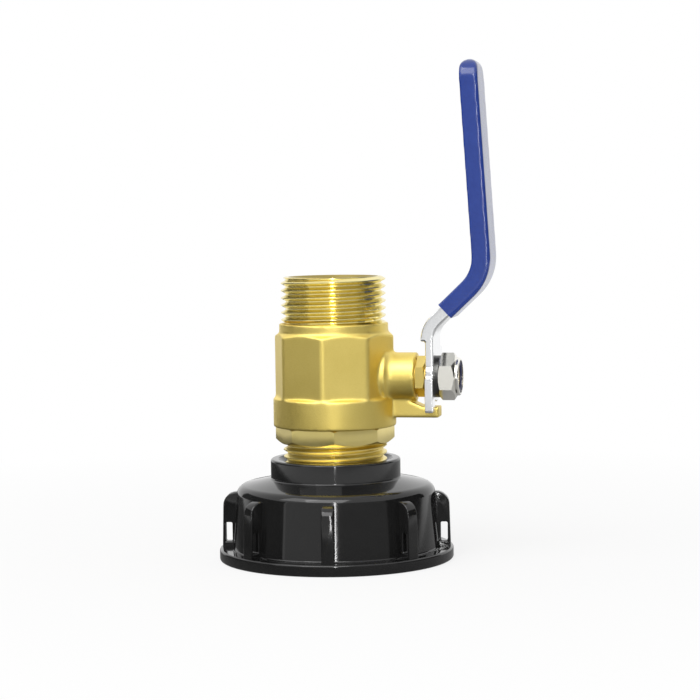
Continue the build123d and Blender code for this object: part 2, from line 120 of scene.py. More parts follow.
def settle(piece: Solid) -> None:
    """Moves a piece's place, turn and scale into its mesh."""
    pick(piece)
    bpy.ops.object.transform_apply(location=True, rotation=True, scale=True)


def duplicate(piece: Solid) -> Solid:
    """Copies a piece with its own mesh."""
    pick(piece)
    bpy.ops.object.duplicate(linked=False)
    return bpy.context.object


def tidy_mesh(piece: Solid, merge: float = MERGE_REACH) -> None:
    """Merges points that lie closer than a distance and turns every face outwards."""
    edit(piece)
    bpy.ops.mesh.remove_doubles(threshold=merge)
    bpy.ops.mesh.select_all(action="SELECT")
    bpy.ops.mesh.normals_make_consistent(inside=False)
    bpy.ops.object.mode_set(mode="OBJECT")


def draw(name: str, points: Sequence[Vector], closed: bool) -> Solid:
    """Draws a line of points by extruding one point again and again.

    Args:
        name: The new object's name.
        points: The line's points in order.
        closed: Whether the last point is joined back to the first.

    Returns:
        The object that holds the line, in object mode.
    """
    clear()
    bpy.ops.mesh.primitive_plane_add(size=MM, location=points[0])
    line = bpy.context.object
    line.name = name
    settle(line)
    edit(line)
    bpy.ops.mesh.merge(type="CENTER")
    stops = [*points, points[0]] if closed else points
    for here, there in zip(stops, stops[1:]):
        bpy.ops.mesh.extrude_region_move(TRANSFORM_OT_translate={"value": there - here})
    bpy.ops.mesh.select_all(action="SELECT")
    bpy.ops.mesh.remove_doubles(threshold=MERGE_REACH)
    bpy.ops.object.mode_set(mode="OBJECT")
    return line


def lathe(name: str, outline: Sequence[Point], axis: Axis = Axis.FLOW, steps: int = FLOW_STEPS,
          closed: bool = False) -> Solid:
    """Spins an outline into a round solid.

    Args:
        name: The new object's name.
        outline: The outline's points. Its flat ends run on to the axis, unless it is closed.
        axis: The axis it spins about.
        steps: How many facets go round.
        closed: Whether the outline is a ring's whole section.

    Returns:
        The closed solid.
    """
    corners = outline if closed else [axis.foot(outline[0]), *outline, axis.foot(outline[-1])]
    solid = draw(name, [axis.place(point) for point in corners], closed)
    edit(solid)
    centre, way = axis.value
    bpy.ops.mesh.spin(steps=steps, angle=2 * pi, center=centre, axis=way)
    bpy.ops.object.mode_set(mode="OBJECT")
    tidy_mesh(solid)
    return solid


def plate(name: str, outline: Sequence[Vector], push: Vector) -> Solid:
    """Fills a flat outline and extrudes it into a plate.

    Args:
        name: The new object's name.
        outline: The corners of the flat face, in order.
        push: The way and length of the extrusion.

    Returns:
        The closed plate.
    """
    solid = draw(name, outline, True)
    edit(solid)
    bpy.ops.mesh.edge_face_add()
    bpy.ops.mesh.select_all(action="SELECT")
    bpy.ops.mesh.extrude_region_move(TRANSFORM_OT_translate={"value": push})
    bpy.ops.object.mode_set(mode="OBJECT")
    tidy_mesh(solid)
    return solid


def slab(name: str, outline: Sequence[Point], width: float) -> Solid:
    """Plate with an outline of (x, z) points, its width shared out to both sides."""
    return plate(name, [Vector((x, -width / 2, z)) for x, z in outline], Vector((0.0, width, 0.0)))


def block(centre: Sequence[float], size: Sequence[float]) -> Solid:
    """Plain block with a centre and its three sizes."""
    clear()
    bpy.ops.mesh.primitive_cube_add(size=1.0, location=centre, scale=size)
    solid = bpy.context.object
    settle(solid)
    return solid


def prism(name: str, sides: int, apothem: float, bottom: float, top: float,
          turn: float = 0.0) -> Solid:
    """Upright prism with a corner turned by an angle from the X axis."""
    clear()
    bpy.ops.mesh.primitive_cylinder_add(
        vertices=sides, radius=apothem / cos(pi / sides), depth=top - bottom,
        location=(0, 0, (top + bottom) / 2), rotation=(0, 0, turn))
    solid = bpy.context.object
    solid.name = name
    settle(solid)
    return solid


def stem_prism(name: str, flats: float, start: float, end: float) -> Solid:
    """Hexagonal prism along the stem, measured across its flats, with a corner up."""
    solid = prism(name, 6, flats / 2, start, end, pi / 6)
    solid.matrix_world = Matrix.Translation((0, 0, STEM_HEIGHT)) @ Matrix.Rotation(pi / 2, 4, "Y")
    settle(solid)
    return solid


def apply(piece: Solid, kind: str, **settings: object) -> None:
    """Adds a modifier with some settings and applies it at once."""
    pick(piece)
    modifier = piece.modifiers.new(kind.lower(), kind)
    for key, value in settings.items():
        setattr(modifier, key, value)
    bpy.ops.object.modifier_apply(modifier=modifier.name)


def combine(piece: Solid, work: Work, *others: Solid) -> None:
    """Joins, cuts or trims a piece by other solids in turn, which are used up."""
    for other in others:
        apply(piece, "BOOLEAN", object=other, operation=work.value, solver="EXACT",
              material_mode="TRANSFER")
        bpy.data.objects.remove(other)


def bevel(piece: Solid, width: float, segments: int, angle: float) -> None:
    """Rounds the edges that are sharper than an angle in degrees."""
    apply(piece, "BEVEL", width=width, segments=segments, limit_method="ANGLE",
          angle_limit=radians(angle))


def soften(piece: Solid, voxel: float, passes: int) -> None:
    """Remeshes a rough shape finely and relaxes it, which rounds every edge as a mould does."""
    apply(piece, "REMESH", mode="VOXEL", voxel_size=voxel, adaptivity=0.0)
    apply(piece, "SMOOTH", factor=RELAX_FACTOR, iterations=passes)


def smooth(piece: Solid, angle: float) -> None:
    """Shades a piece smooth except across edges sharper than an angle in degrees."""
    pick(piece)
    bpy.ops.object.shade_smooth_by_angle(angle=radians(angle))


def rounded(corners: Sequence[Point], radii: dict[int, float], steps: int = 6) -> list[Point]:
    """Rounds some corners of an open or closed outline with arcs.

    Args:
        corners: The outline's corners in order.
        radii: The arc radius for a corner's index; the other corners stay sharp.
        steps: How many pieces each arc has.

    Returns:
        The outline's points with the arcs in place.
    """
    points: list[Point] = []
    for index, corner in enumerate(corners):
        radius = radii.get(index, 0.0)
        if radius == 0.0:
            points.append(corner)
            continue
        here = Vector(corner)
        back = (Vector(corners[index - 1]) - here).normalized()
        ahead = (Vector(corners[(index + 1) % len(corners)]) - here).normalized()
        half = back.angle(ahead) / 2
        centre = here + (back + ahead).normalized() * radius / sin(half)
        first = here + back * radius / tan(half) - centre
        last = here + ahead * radius / tan(half) - centre
        sweep = first.angle_signed(last)
        for step in range(steps + 1):
            spoke = first.copy()
            spoke.rotate(Matrix.Rotation(-sweep * step / steps, 2))
            points.append(tuple(centre + spoke))
    return points


@dataclass(frozen=True)
class Thread:
    """A right-hand screw thread, swept along its helix.

    Its ridge's middle crosses the X axis at the height named ridge. Half a ridge's width is given
    at its crest and at its root, as shares of the pitch.
    """

    root: float
    crest: float
    pitch: float
    ridge: float
    crest_share: float = 0.07
    root_share: float = 0.43
    steps: int = 96

    def plug(self, name: str, bottom: float, top: float) -> Solid:
        """Models a threaded plug with flat ends.

        Args:
            name: The new object's name.
            bottom: The height of the lower end.
            top: The height of the upper end.

        Returns:
            The closed plug.
        """
        pitch = self.pitch
        start = self.ridge - pitch / 2 - (ceil((self.ridge - bottom) / pitch) + 2) * pitch
        middle = start + pitch / 2
        half_crest, half_root = self.crest_share * pitch, self.root_share * pitch
        profile = [(self.root, start), (self.root, middle - half_root),
                   (self.crest, middle - half_crest), (self.crest, middle + half_crest),
                   (self.root, middle + half_root), (self.root, start + pitch)]
        plug = draw(name, [Axis.FLOW.place(point) for point in profile], False)
        apply(plug, "SCREW", axis="Z", screw_offset=pitch, angle=2 * pi, steps=self.steps,
              render_steps=self.steps, iterations=ceil((top - start) / pitch) + 1,
              use_merge_vertices=True, merge_threshold=MERGE_REACH)
        tidy_mesh(plug)
        for height, way in ((top, 1.0), (bottom, -1.0)):
            edit(plug)
            bpy.ops.mesh.bisect(plane_co=(0, 0, height), plane_no=(0, 0, way), clear_outer=True,
                                use_fill=True, threshold=CUT_REACH)
            bpy.ops.object.mode_set(mode="OBJECT")
        tidy_mesh(plug)
        return plug


class Pattern(Enum):
    """The fine patterns that a finish can have in its surface."""

    GRAIN = "surface_grain"
    TURNED_ON_FLOW = "turned_on_flow"
    TURNED_ON_STEM = "turned_on_stem"
    DRAWN = "drawn_lines"


class NodeKit:
    """Short moves for building shader node trees."""

    def __init__(self, tree: bpy.types.NodeTree) -> None:
        """Keeps the tree that the nodes go into."""
        self.tree = tree

    @classmethod
    def blank(cls, owner: bpy.types.Material | bpy.types.World) -> "NodeKit":
        """Opens the node tree of a material or a world, emptied."""
        owner.use_nodes = True
        owner.node_tree.nodes.clear()
        return cls(owner.node_tree)

    def feed(self, target: Socket, value: object) -> None:
        """Links an input to an output, or gives it a plain value."""
        if isinstance(value, Socket):
            self.tree.links.new(value, target)
        elif value is not None:
            target.default_value = value

    def add(self, kind: str, inputs: dict[str, object] | None = None,
            **settings: object) -> bpy.types.Node:
        """Adds a node.

        Args:
            kind: The node's type.
            inputs: The output or plain value that goes into each named input.
            settings: The node's properties.

        Returns:
            The node.
        """
        node = self.tree.nodes.new(kind)
        for key, value in settings.items():
            setattr(node, key, value)
        for key, value in (inputs or {}).items():
            self.feed(node.inputs[key], value)
        return node

    def maths(self, operation: str, first: object, second: object = None) -> Socket:
        """Adds a maths node whose inputs are sockets or numbers, and gives its output."""
        node = self.add("ShaderNodeMath", operation=operation)
        for index, value in enumerate((first, second)):
            self.feed(node.inputs[index], value)
        return node.outputs[0]

    def spread(self, value: Socket, **ends: float) -> Socket:
        """Maps a value from one range to another; from_min names the input From Min, and so on."""
        inputs = {key.replace("_", " ").title(): end for key, end in ends.items()}
        return self.add("ShaderNodeMapRange", {"Value": value, **inputs}).outputs["Result"]

    def place(self) -> Socket:
        """Gives the place on the object."""
        return self.add("ShaderNodeTexCoord").outputs["Object"]

    def seen(self) -> Socket:
        """Gives 1 for rays that show a surface, straight or by way of another, and 0 for light."""
        rays = self.add("ShaderNodeLightPath").outputs
        return self.maths("MAXIMUM", rays["Is Camera Ray"],
                          self.maths("MAXIMUM", rays["Is Glossy Ray"], rays["Is Transmission Ray"]))


class PatternGroups:
    """Node groups shared by the finishes. Each gives a Tone from 0 to 1 and a Height."""

    DRAWN_STRETCH = (1.0, 1.0, 0.04)

    def __init__(self) -> None:
        """Builds each group once."""
        self.groups = {pattern: self.build(pattern) for pattern in Pattern}
        self.mottle = self.build_mottle()

    @staticmethod
    def group(name: str, scale: float, detail: float, roughness: float,
              margin: float) -> tuple[NodeKit, Socket, bpy.types.NodeTree]:
        """Builds a group round one noise, with a Scale input and Tone and Height outputs.

        Args:
            name: The group's name.
            scale: The input's default value.
            detail: The noise's detail.
            roughness: The noise's roughness.
            margin: How far from its middle the noise reaches the tones 0 and 1.

        Returns:
            The node kit, the noise's place input, which is still open, and the group.
        """
        group = bpy.data.node_groups.new(name, "ShaderNodeTree")
        socket = group.interface.new_socket("Scale", in_out="INPUT", socket_type="NodeSocketFloat")
        socket.default_value = scale
        for output in ("Tone", "Height"):
            group.interface.new_socket(output, in_out="OUTPUT", socket_type="NodeSocketFloat")
        kit = NodeKit(group)
        noise = kit.add("ShaderNodeTexNoise", {"Scale": kit.add("NodeGroupInput").outputs["Scale"],
                                               "Detail": detail, "Roughness": roughness})
        level = noise.outputs["Fac"]
        tone = kit.spread(level, from_min=0.5 - margin, from_max=0.5 + margin)
        kit.add("NodeGroupOutput", {"Tone": tone, "Height": level})
        return kit, noise.inputs["Vector"], group

    @classmethod
    def build(cls, pattern: Pattern) -> bpy.types.NodeTree:
        """Builds the group of one pattern."""
        kit, target, group = cls.group(
            pattern.value, scale=2000.0, detail=3.0, roughness=0.6, margin=0.2)
        place = kit.place()
        if pattern is Pattern.GRAIN:
            kit.feed(target, place)
        elif pattern is Pattern.DRAWN:
            stretch = kit.add("ShaderNodeMapping", {"Scale": cls.DRAWN_STRETCH, "Vector": place})
            kit.feed(target, stretch.outputs["Vector"])
        else:
            x, y, z = kit.add("ShaderNodeSeparateXYZ", {"Vector": place}).outputs
            if pattern is Pattern.TURNED_ON_FLOW:
                along, first, second = z, x, y
            else:
                along, first, second = x, y, kit.maths("SUBTRACT", z, STEM_HEIGHT)
            square = kit.maths("ADD", *(kit.maths("POWER", side, 2.0) for side in (first, second)))
            rings = kit.add("ShaderNodeCombineXYZ", {"X": kit.maths("SQRT", square), "Y": along})
            kit.feed(target, rings.outputs["Vector"])
        return group

    @classmethod
    def build_mottle(cls) -> bpy.types.NodeTree:
        """Builds the slow, cloudy change of tone that handling and casting leave."""
        kit, target, group = cls.group(
            "slow_mottle", scale=60.0, detail=5.0, roughness=0.55, margin=0.15)
        kit.feed(target, kit.place())
        return group


@dataclass(frozen=True)
class Finish:
    """One surface finish: its two colours, its gloss, and the fine and slow patterns in it."""

    name: str
    light: Colour
    dark: Colour
    metallic: float
    smooth_roughness: float
    rough_roughness: float
    pattern: Pattern = Pattern.GRAIN
    pattern_scale: float = 2500.0
    pattern_depth: float = 0.02
    mottle_scale: float = 60.0
    waviness: float = 0.0
    coat: float = 0.0
    coat_roughness: float = 0.06
    fine_share: float = 0.45
    slow_share: float = 0.55

    def build(self, groups: PatternGroups) -> bpy.types.Material:
        """Makes the finish's material round the shared pattern groups."""
        material = bpy.data.materials.new(self.name)
        material.use_nodes = True
        kit = NodeKit(material.node_tree)
        fine = kit.add("ShaderNodeGroup", node_tree=groups.groups[self.pattern])
        fine.inputs["Scale"].default_value = self.pattern_scale
        slow = kit.add("ShaderNodeGroup", node_tree=groups.mottle)
        slow.inputs["Scale"].default_value = self.mottle_scale
        tone = kit.maths("ADD", kit.maths("MULTIPLY", fine.outputs["Tone"], self.fine_share),
                         kit.maths("MULTIPLY", slow.outputs["Tone"], self.slow_share))
        colour = kit.add("ShaderNodeMix", {"Factor": tone}, data_type="RGBA")
        ends = [socket for socket in colour.inputs if socket.type == "RGBA"]
        ends[0].default_value = (*self.dark, 1.0)
        ends[1].default_value = (*self.light, 1.0)
        relief = kit.maths(
            "ADD", kit.maths("MULTIPLY", fine.outputs["Height"], self.pattern_depth * MM),
            kit.maths("MULTIPLY", slow.outputs["Height"], self.waviness * MM))
        bump = kit.add("ShaderNodeBump", {"Strength": 1.0, "Distance": 1.0, "Height": relief})
        shader = kit.tree.nodes["Principled BSDF"]
        for key, value in {
            "Metallic": self.metallic,
            "Coat Weight": self.coat,
            "Coat Roughness": self.coat_roughness,
            "Base Color": [socket for socket in colour.outputs if socket.type == "RGBA"][0],
            "Roughness": kit.spread(tone, to_min=self.smooth_roughness,
                                    to_max=self.rough_roughness),
            "Normal": bump.outputs["Normal"],
        }.items():
            kit.feed(shader.inputs[key], value)
        return material


FINISHES = (
    Finish("forged_brass", (0.95, 0.77, 0.24), (0.86, 0.67, 0.17), 1.0, 0.38, 0.50,
           Pattern.GRAIN, 2600.0, 0.045),
    Finish("turned_brass", (0.95, 0.84, 0.40), (0.88, 0.75, 0.30), 1.0, 0.16, 0.24,
           Pattern.TURNED_ON_FLOW, 5000.0, 0.004),
    Finish("connector_brass", (0.97, 0.82, 0.34), (0.90, 0.74, 0.25), 1.0, 0.26, 0.36,
           Pattern.TURNED_ON_FLOW, 5000.0, 0.004),
    # Brass for the bore walls, darkened far below the body's own colour: painted shade inside the
    # waterway and the stem bore.
    Finish("shaded_bore_brass", (0.44, 0.35, 0.12), (0.32, 0.25, 0.08), 1.0, 0.30, 0.42,
           Pattern.TURNED_ON_FLOW, 3500.0, 0.006),
    Finish("gland_brass", (0.92, 0.74, 0.26), (0.76, 0.56, 0.14), 1.0, 0.18, 0.28,
           Pattern.TURNED_ON_STEM, 5000.0, 0.004),
    Finish("moulded_cap", (0.011, 0.011, 0.011), (0.006, 0.006, 0.006), 0.0, 0.06, 0.10,
           Pattern.GRAIN, 1800.0, 0.0006, 40.0, 0.02),
    Finish("sleeve_vinyl", (0.012, 0.044, 0.27), (0.008, 0.032, 0.22), 0.0, 0.14, 0.22,
           Pattern.GRAIN, 900.0, 0.003, 50.0, 0.03, 0.3),
    Finish("lever_steel", (0.96, 0.97, 0.98), (0.86, 0.87, 0.88), 1.0, 0.14, 0.24,
           Pattern.DRAWN, 3000.0, 0.004),
    Finish("nut_steel", (0.97, 0.96, 0.90), (0.84, 0.82, 0.74), 1.0, 0.14, 0.22,
           Pattern.TURNED_ON_STEM, 4000.0, 0.003),
    Finish("washer_steel", (0.16, 0.16, 0.15), (0.05, 0.05, 0.05), 1.0, 0.25, 0.4,
           Pattern.GRAIN, 3000.0, 0.006),
    Finish("insert_nylon", (0.016, 0.020, 0.085), (0.010, 0.012, 0.055), 0.0, 0.35, 0.45,
           Pattern.GRAIN, 2500.0, 0.006),
    Finish("seal_rubber", (0.022, 0.022, 0.022), (0.012, 0.012, 0.012), 0.0, 0.55, 0.7,
           Pattern.GRAIN, 3500.0, 0.01),
    Finish("seat_polymer", (0.84, 0.84, 0.82), (0.76, 0.76, 0.73), 0.0, 0.35, 0.5,
           Pattern.TURNED_ON_FLOW, 2500.0, 0.003),
    Finish("ball_chrome", (0.78, 0.79, 0.80), (0.70, 0.71, 0.72), 1.0, 0.06, 0.12,
           Pattern.GRAIN, 1500.0, 0.0005),
    Finish("stem_brass", (0.80, 0.64, 0.30), (0.66, 0.50, 0.18), 1.0, 0.2, 0.32,
           Pattern.TURNED_ON_STEM, 5000.0, 0.004),
)


class FinishRack:
    """All the finishes as materials, ready to be given to pieces."""

    def __init__(self) -> None:
        """Builds every material once."""
        groups = PatternGroups()
        self.materials = {finish.name: finish.build(groups) for finish in FINISHES}

    def dress(self, piece: Solid, name: str) -> None:
        """Gives a piece one finish all over."""
        piece.data.materials.clear()
        piece.data.materials.append(self.materials[name])

    def dress_node(self, node: str, name: str) -> None:
        """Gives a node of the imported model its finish, and leaves its mesh alone."""
        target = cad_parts[node]
        for slot in target.material_slots:
            slot.material = self.materials[name]
        if not target.material_slots:
            target.data.materials.append(self.materials[name])


@dataclass
class SubAssembly:
    """What every sub-assembly shares: the finishes, and how its pieces go into the model."""

    rack: FinishRack

    def fit(self, piece: Solid, node: str, body: Body, slot: str, sharp: float) -> None:
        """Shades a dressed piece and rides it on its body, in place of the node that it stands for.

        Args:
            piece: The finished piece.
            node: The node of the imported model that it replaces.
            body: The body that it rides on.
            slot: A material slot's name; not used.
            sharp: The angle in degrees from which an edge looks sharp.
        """
        smooth(piece, sharp)
        settle(piece)
        piece.name = node + "_dressed"
        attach(piece, body.value)
        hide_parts(node)
        log.info("%s rides on %s with %d faces", piece.name, body.value, len(piece.data.polygons))


@dataclass
class TankCap(SubAssembly):
    """The moulded cap: flange, wall, dome, collar, grip ribs and inside threads."""

    flange_radius: float = 37.3 * MM
    flange_height: float = 3.7 * MM
    wall_base_radius: float = 33.0 * MM
    wall_top_radius: float = 31.4 * MM
    shoulder_height: float = 23.4 * MM
    shoulder_round: float = 3.2 * MM
    collar_radius: float = 20.65 * MM
    collar_base_height: float = 25.7 * MM
    height: float = 32.0 * MM
    inside_top: float = 20.2 * MM
    relief_depth: float = 3.2 * MM
    relief_clearance: float = 0.1 * MM
    mouth_radius: float = 18.3 * MM
    mouth_depth: float = 1.4 * MM
    mouth_clearance: float = 0.05 * MM
    edge_round: float = 0.7 * MM
    tank_thread: Thread = Thread(28.2 * MM, 30.0 * MM, 6.0 * MM, 6.2 * MM)
    tank_mouth_reach: float = 0.6 * MM
    tank_mouth_depth: float = 2.2 * MM
    collar_thread: Thread = Thread(15.24 * MM, 16.84 * MM, 2.309 * MM, 24.516 * MM)
    ledge_top: float = 21.6 * MM
    passage_radius: float = 13.0 * MM
    rib_count: int = 8
    rib_first_angle: float = radians(-82.6)
    rib_width: float = 3.8 * MM
    rib_top_radius: float = 36.0 * MM
    rib_base_radius: float = 36.5 * MM
    rib_height: float = 21.2 * MM
    rib_corner: float = 4.2 * MM
    slot_centre: Point = (34.4 * MM, 8.45 * MM)
    slot_size: Point = (2.2 * MM, 6.1 * MM)
    merge_reach: float = 0.003 * MM

    def shell(self) -> Solid:
        """Spins the cap's outside as a solid plug without ribs."""
        outside = [
            (0.0, 0.0),
            (self.flange_radius, 0.0),
            (self.flange_radius, self.flange_height),
            (self.wall_base_radius, self.flange_height),
            (self.wall_top_radius, self.shoulder_height),
            (self.collar_radius, self.collar_base_height),
            (self.collar_radius, self.height),
            (0.0, self.height),
        ]
        radii = {corner: self.edge_round for corner in (1, 2, 3, 5, 6)}
        radii[4] = self.shoulder_round
        return lathe("cap_shell", rounded(outside, radii, steps=8), steps=192)

    def hollow(self, cap: Solid) -> None:
        """Cuts the tank space, the passage and the collar's threaded space out of the solid cap."""
        tank_mouth = self.tank_thread.crest + self.tank_mouth_reach
        relief = self.tank_thread.crest + self.relief_clearance
        spaces = (
            self.tank_thread.plug("tank_space", -OVERLAP, self.inside_top),
            lathe("mouth", [(tank_mouth, -OVERLAP), (tank_mouth, 0.0),
                            (self.tank_thread.root, self.tank_mouth_depth)]),
            lathe("relief", [(relief, self.inside_top - self.relief_depth),
                             (relief, self.inside_top)]),
            lathe("passage", [(self.passage_radius, self.inside_top - OVERLAP),
                              (self.passage_radius, self.ledge_top + OVERLAP)]),
            self.collar_thread.plug("collar_space", self.ledge_top, self.height + OVERLAP),
            lathe("collar_mouth", [
                (self.collar_thread.crest + self.mouth_clearance, self.height - self.mouth_depth),
                (self.mouth_radius, self.height), (self.mouth_radius, self.height + OVERLAP)]),
        )
        combine(cap, Work.CUT, *spaces)

    def rib(self) -> Solid:
        """Models one slotted grip rib where it stands on the X axis."""
        corners = [(self.tank_thread.crest + OVERLAP, self.flange_height / 2),
                   (self.rib_base_radius, self.flange_height / 2),
                   (self.rib_top_radius, self.rib_height),
                   (self.wall_top_radius - self.shoulder_round, self.rib_height)]
        rib = slab("rib", rounded(corners, {2: self.rib_corner}, steps=8), self.rib_width)
        (x, z), (deep, tall) = self.slot_centre, self.slot_size
        combine(rib, Work.CUT, block((x, 0, z), (deep, 2 * self.rib_width, tall)))
        bevel(rib, self.edge_round, segments=4, angle=40.0)
        return rib

    def build(self) -> None:
        """Models the cap and fits it in place of its node."""
        cap = self.shell()
        first = self.rib()
        ribs = [duplicate(first) for _ in range(self.rib_count)]
        bpy.data.objects.remove(first)
        for turn, rib in enumerate(ribs):
            angle = self.rib_first_angle + turn * 2 * pi / self.rib_count
            rib.matrix_world = Matrix.Rotation(angle, 4, "Z") @ rib.matrix_world
            settle(rib)
            combine(cap, Work.JOIN, rib)
        self.hollow(cap)
        tidy_mesh(cap, self.merge_reach)
        self.rack.dress(cap, "moulded_cap")
        self.fit(cap, "tank_cap", Body.VALVE, "moulded_cap", sharp=32.0)


@dataclass
class ForgedBody(SubAssembly):
    """The forged valve body with its outlet thread, wrench flats, bonnet and stop lug."""

    bottom: float = 42.3 * MM
    skirt_radius: float = 19.5 * MM
    skirt_top: float = 51.4 * MM
    apothem: float = 17.9 * MM
    corner_radius: float = 19.2 * MM
    flats_top: float = 71.0 * MM
    shoulder: float = 0.35 * MM
    neck_radius: float = 17.3 * MM
    neck_bottom: float = 72.0 * MM
    neck_top: float = 75.0 * MM
    top: float = 89.7 * MM
    outlet: Thread = Thread(15.14 * MM, 16.62 * MM, 2.309 * MM, 74.94 * MM)
    thread_sink: float = 0.6 * MM
    lead_in_depth: float = 1.3 * MM
    lead_in_reach: float = 0.2 * MM
    joint_bore: float = 16.3 * MM
    joint_top: float = 50.0 * MM
    cavity_bore: float = 14.6 * MM
    cavity_top: float = 65.0 * MM
    seat_bore: float = 13.2 * MM
    seat_floor: float = 68.47 * MM
    port: float = 9.5 * MM
    bore: float = 13.4 * MM
    bore_chamfer: float = 0.9 * MM
    bonnet_radius: float = 7.6 * MM
    bonnet_end: float = 26.7 * MM
    flare_radius: float = 8.9 * MM
    flare_end: float = 20.2 * MM
    flare_sink: float = 0.2 * MM
    flare_steps: int = 8
    shaft_bore: float = 4.0 * MM
    shaft_bore_start: float = 10.0 * MM
    gland_bore: float = 5.62 * MM
    gland_bore_start: float = 20.6 * MM
    lug_half_width: float = 3.5 * MM
    lug_root: float = 15.0 * MM
    lug_end: float = 33.9 * MM
    lug_bottom: float = 45.2 * MM
    lug_base_top: float = 50.8 * MM
    lug_tip_top: float = 48.6 * MM
    lug_step_start: float = 24.2 * MM
    lug_step_end: float = 29.2 * MM
    lug_step_rounds: Point = (4.0 * MM, 2.0 * MM)
    voxel: float = 0.36 * MM
    relax_passes: int = 9

    def bonnet(self) -> Solid:
        """Spins the bonnet about the stem, with the fillet where it meets the flats."""
        start = self.apothem - self.flare_sink
        rise, run = self.flare_radius - self.bonnet_radius, self.flare_end - start
        turns = [step * pi / (2 * self.flare_steps) for step in range(self.flare_steps + 1)]
        fillet = [(start + run * (1 - cos(turn)), self.flare_radius - rise * sin(turn))
                  for turn in turns]
        outline = [(0, self.flare_radius), *fillet, (self.bonnet_end, self.bonnet_radius)]
        return lathe("bonnet", outline, Axis.STEM, STEM_STEPS)

    def lug(self) -> Solid:
        """Models the stepped lug that the lever's ears stop on."""
        corners = [(self.lug_root, self.lug_bottom), (self.lug_end, self.lug_bottom),
                   (self.lug_end, self.lug_tip_top), (self.lug_step_end, self.lug_tip_top),
                   (self.lug_step_start, self.lug_base_top), (self.lug_root, self.lug_base_top)]
        edge, hollow = self.lug_step_rounds
        outline = rounded(corners, {3: edge, 4: hollow}, steps=8)
        return slab("lug", outline, 2 * self.lug_half_width)

    def blank(self) -> Solid:
        """Joins the rough forging, still without its bores, and rounds all its edges."""
        flats = prism("forged_body", 8, self.apothem, self.skirt_top - OVERLAP, self.neck_bottom)
        trim = lathe("trim", [(self.corner_radius, self.bottom),
                              (self.corner_radius, self.flats_top),
                              (self.neck_radius, self.neck_bottom)])
        combine(flats, Work.TRIM, trim)
        skirt = lathe("skirt", [(self.skirt_radius, self.bottom),
                                (self.skirt_radius, self.skirt_top),
                                (self.apothem, self.skirt_top + self.shoulder)])
        neck = lathe("neck", [(self.neck_radius, self.neck_bottom - OVERLAP),
                              (self.neck_radius, self.neck_top)])
        combine(flats, Work.JOIN, skirt, neck, self.bonnet(), self.lug())
        soften(flats, self.voxel, self.relax_passes)
        return flats

    def thread(self) -> Solid:
        """Models the outlet thread with its lead-in."""
        thread = self.outlet.plug("outlet_thread", self.neck_top - self.thread_sink, self.top)
        lead_in = lathe("lead_in", [(self.outlet.crest + OVERLAP, self.neck_top - 2 * OVERLAP),
                                    (self.outlet.crest + OVERLAP, self.top - self.lead_in_depth),
                                    (self.outlet.root + self.lead_in_reach, self.top)])
        combine(thread, Work.TRIM, lead_in)
        return thread

    def build(self) -> None:
        """Models the body, cuts its waterway and stem bore and fits it in place of its node."""
        body = self.blank()
        self.rack.dress(body, "forged_brass")
        thread = self.thread()
        self.rack.dress(thread, "turned_brass")
        combine(body, Work.JOIN, thread)
        mouth = self.bore + self.bore_chamfer
        waterway = lathe("waterway", [
            (self.joint_bore, self.bottom - OVERLAP), (self.joint_bore, self.joint_top),
            (self.cavity_bore, self.joint_top), (self.cavity_bore, self.cavity_top),
            (self.seat_bore, self.cavity_top), (self.seat_bore, self.seat_floor),
            (self.port, self.seat_floor), (self.port, self.neck_bottom + OVERLAP),
            (self.bore, self.neck_top + OVERLAP), (self.bore, self.top - self.bore_chamfer),
            (mouth, self.top), (mouth, self.top + OVERLAP)], steps=128)
        # The waterway's walls take the darkened bore brass, which is painted shade.
        self.rack.dress(waterway, "shaded_bore_brass")
        combine(body, Work.CUT, waterway)
        stem_bore = lathe("stem_bore", [
            (self.shaft_bore_start, self.shaft_bore), (self.gland_bore_start, self.shaft_bore),
            (self.gland_bore_start, self.gland_bore), (self.bonnet_end + OVERLAP, self.gland_bore)],
            Axis.STEM, BORE_STEPS)
        # The stem bore's walls take the darkened bore brass too, which is painted shade.
        self.rack.dress(stem_bore, "shaded_bore_brass")
        combine(body, Work.CUT, stem_bore)
        self.fit(body, "valve_body", Body.VALVE, "forged_brass", sharp=38.0)


